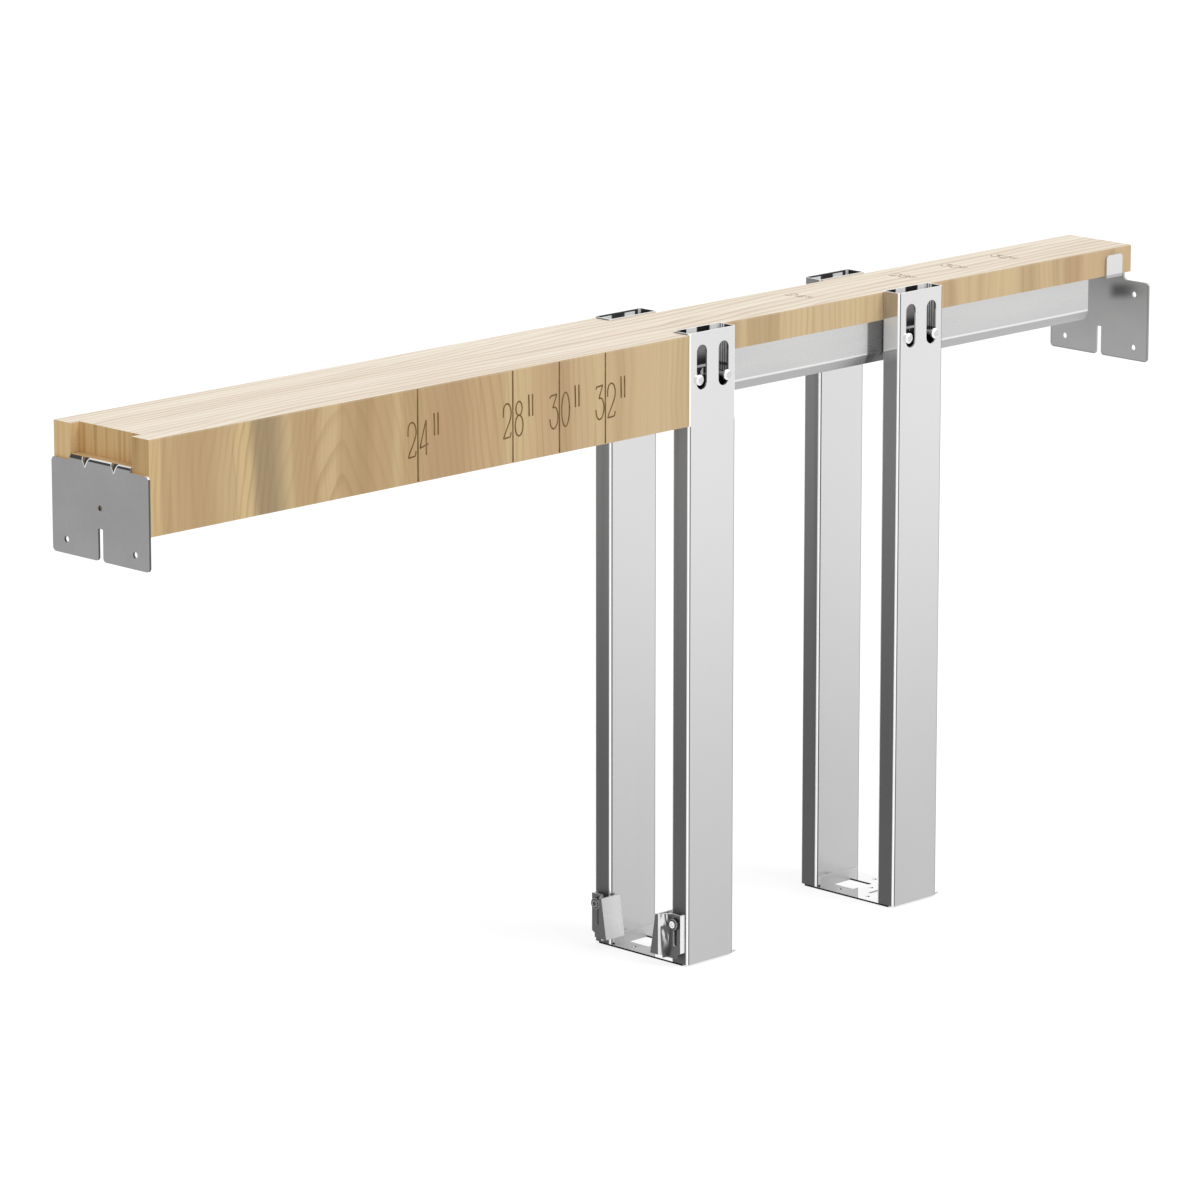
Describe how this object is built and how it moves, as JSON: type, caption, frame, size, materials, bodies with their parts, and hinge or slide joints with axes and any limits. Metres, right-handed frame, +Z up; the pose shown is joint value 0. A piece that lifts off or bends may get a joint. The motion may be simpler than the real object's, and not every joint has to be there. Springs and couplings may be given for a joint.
{
  "type": "pocket door frame",
  "caption": "Pocket door frame: timber header with nailers and a track under it, end brackets, pairs of split steel studs on base plates, and adjustable door guides.",
  "frame": {"origin": "on the floor, under the middle of the header's length and of the wall's depth", "axes": "+X along the header from the doorway end to the pocket end, +Y across the wall from front to rear, +Z up"},
  "size_m": [0.9448, 0.0932, 0.4354],
  "materials": {
    "header_wood": "planed, unfinished",
    "nailer_wood": "planed, unfinished",
    "track_aluminium": "satin mill finish",
    "bracket_steel": "galvanised, matt",
    "stud_steel": "galvanised, smooth",
    "plate_steel": "galvanised, smooth",
    "guide_steel": "galvanised, smooth",
    "screw_steel": "zinc plated"
  },
  "bodies": {
    "frame": {"header_board": "header_wood", "front_nailer": "nailer_wood", "rear_nailer": "nailer_wood", "door_track": "track_aluminium", "left_end_bracket": "bracket_steel", "right_end_bracket": "bracket_steel", "opening_stud_front": "stud_steel", "opening_stud_rear": "stud_steel", "pocket_stud_front": "stud_steel", "pocket_stud_rear": "stud_steel", "opening_front_screw_1": "screw_steel", "opening_front_screw_2": "screw_steel", "opening_rear_screw_1": "screw_steel", "opening_rear_screw_2": "screw_steel", "pocket_front_screw_1": "screw_steel", "pocket_front_screw_2": "screw_steel", "pocket_rear_screw_1": "screw_steel", "pocket_rear_screw_2": "screw_steel", "opening_base_plate": "plate_steel", "pocket_base_plate": "plate_steel", "front_guide_bolt": "screw_steel", "rear_guide_bolt": "screw_steel"},
    "front_guide": {"front_door_guide": "guide_steel"},
    "rear_guide": {"rear_door_guide": "guide_steel"}
  },
  "joints": [
    {"name": "front_guide_height", "type": "slide", "parent": "frame", "child": "front_guide", "axis": [0, 0, 1], "range_m": [0, 0.013]},
    {"name": "rear_guide_height", "type": "slide", "parent": "frame", "child": "rear_guide", "axis": [0, 0, 1], "range_m": [0, 0.013]}
  ]
}
